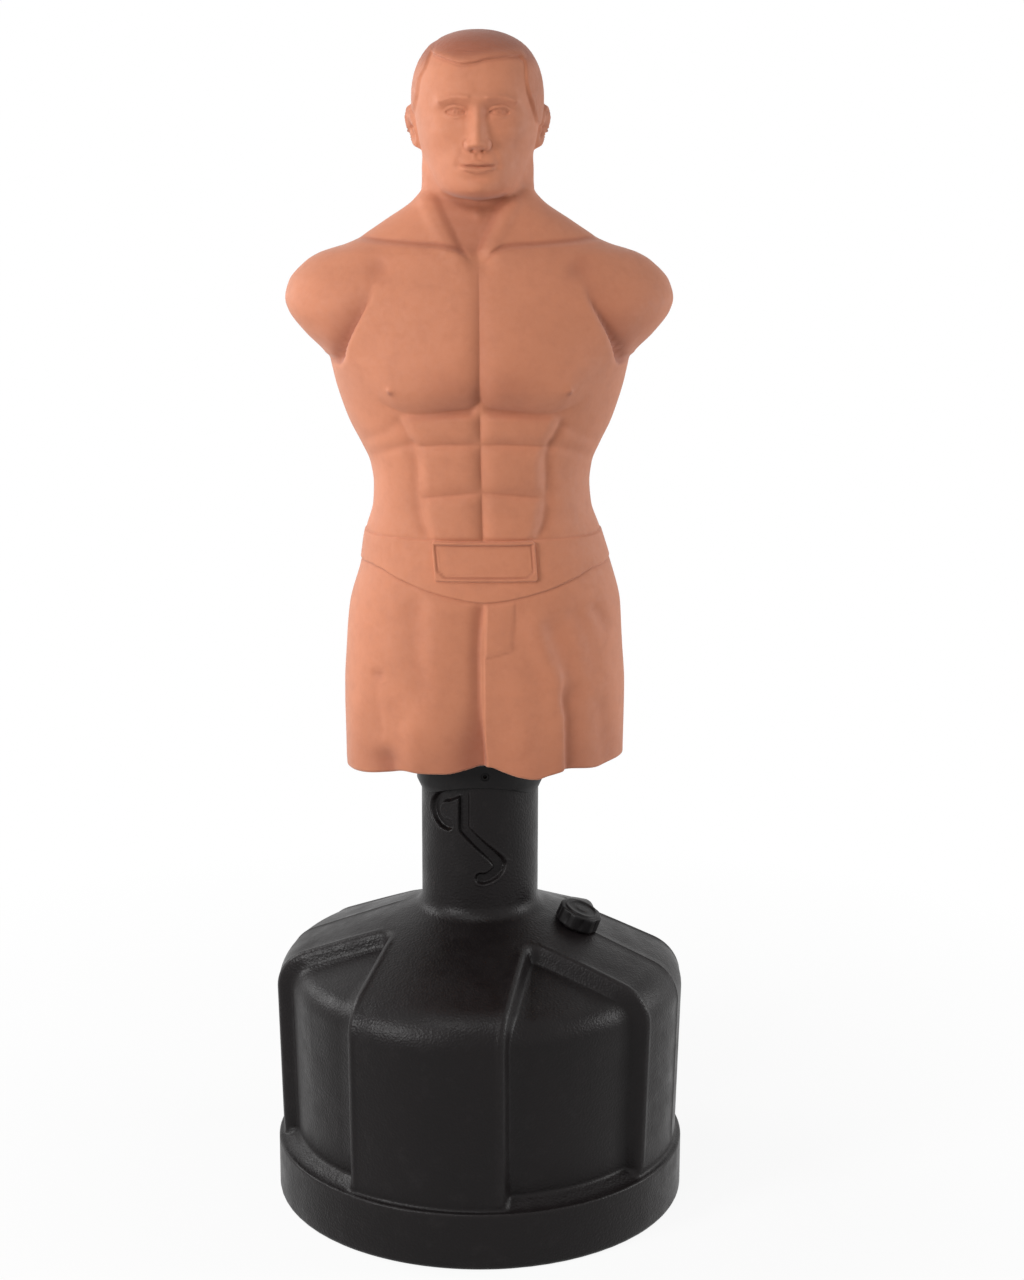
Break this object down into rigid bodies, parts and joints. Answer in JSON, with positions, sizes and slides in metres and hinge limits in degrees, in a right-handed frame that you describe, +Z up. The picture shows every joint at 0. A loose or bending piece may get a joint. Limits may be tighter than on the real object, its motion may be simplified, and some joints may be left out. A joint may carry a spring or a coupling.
{
  "type": "body opponent mannequin",
  "caption": "Armless moulded torso figure for striking practice, sliding on the tracked column of a wide water-ballast base.",
  "frame": {"origin": "centre of the base's lower face, on the floor", "axes": "+Z up along the column, the figure faces -Y, +X is to the right as seen by someone facing the figure"},
  "size_m": [0.61, 0.61, 1.705],
  "materials": {
    "tank_black": "satin moulded polyethylene",
    "water": "still water, sealed in the tank",
    "gasket_rubber": "matte",
    "cap_black": "satin",
    "bush_white": "natural polyethylene",
    "figure_skin": "matte soft vinyl",
    "foam": "foam",
    "sleeve_grey": "matte",
    "collar_black": "satin",
    "screw_steel": "black oxide"
  },
  "bodies": {
    "base": {"base_tank": "tank_black", "ballast_water": "water"},
    "bush": {"guide_bush": "bush_white"},
    "torso": {"figure_skin": "figure_skin", "foam_core": "foam", "core_sleeve": "sleeve_grey", "sleeve_lid": "sleeve_grey", "pin_collar": "collar_black", "guide_pins": "collar_black", "collar_screws": "screw_steel"},
    "seal": {"cap_gasket": "gasket_rubber"},
    "cap": {"fill_cap": "cap_black"}
  },
  "joints": [
    {"name": "torso_lift", "type": "slide", "parent": "base", "child": "bush", "axis": [0, 0, 1], "range_m": [0, 0.46]},
    {"name": "torso_turn", "type": "hinge", "parent": "bush", "child": "torso", "pos_m": [0, 0, 0.715], "axis": [0, 0, 1], "range_deg": [-20.5, 0]},
    {"name": "cap_lift", "type": "slide", "parent": "base", "child": "seal", "axis": [0.3601, -0.1033, 0.9272], "range_m": [0, 0.018]},
    {"name": "cap_turn", "type": "hinge", "parent": "seal", "child": "cap", "pos_m": [0.1413, -0.04052, 0.42309], "axis": [0.3601, -0.1033, 0.9272], "range_deg": [0, 1080]}
  ],
  "couplings": [
    {"joint": "cap_lift", "follows": "cap_turn", "m_per_rad": 0.00095492}
  ]
}
